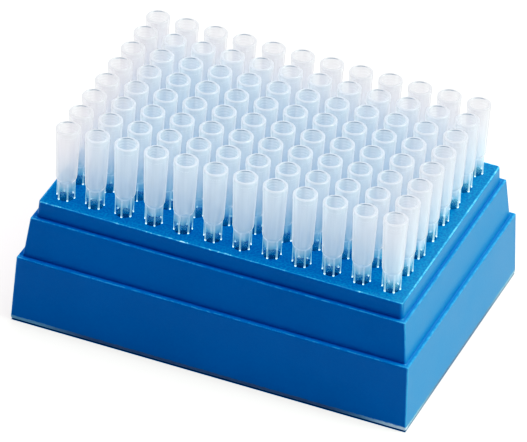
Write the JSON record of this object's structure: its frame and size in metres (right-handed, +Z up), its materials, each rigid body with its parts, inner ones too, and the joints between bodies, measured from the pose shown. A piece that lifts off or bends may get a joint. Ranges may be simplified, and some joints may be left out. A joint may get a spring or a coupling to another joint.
{
  "type": "pipette tip rack",
  "caption": "Open box of pipette tips: a stepped hollow rack whose flat deck carries a grid of loose ribbed tips, mouths up.",
  "frame": {"origin": "centre of the footprint, on the surface that the rack stands on", "axes": "+X along the long side, from the first column of tips to the last; +Y along the short side; +Z up, out of the tips' mouths"},
  "size_m": [0.1212, 0.0852, 0.0627],
  "materials": {
    "rack_blue": "moulded blue polypropylene, smooth with a soft sheen",
    "tip_clear": "natural translucent polypropylene, milky where it is thick"
  },
  "bodies": {
    "root": {"rack": "rack_blue", "tips_column_01": "tip_clear", "tips_column_02": "tip_clear", "tips_column_03": "tip_clear", "tips_column_04": "tip_clear", "tips_column_05": "tip_clear", "tips_column_06": "tip_clear", "tips_column_07": "tip_clear", "tips_column_08": "tip_clear", "tips_column_09": "tip_clear", "tips_column_10": "tip_clear", "tips_column_11": "tip_clear", "tips_column_12": "tip_clear"}
  },
  "joints": []
}
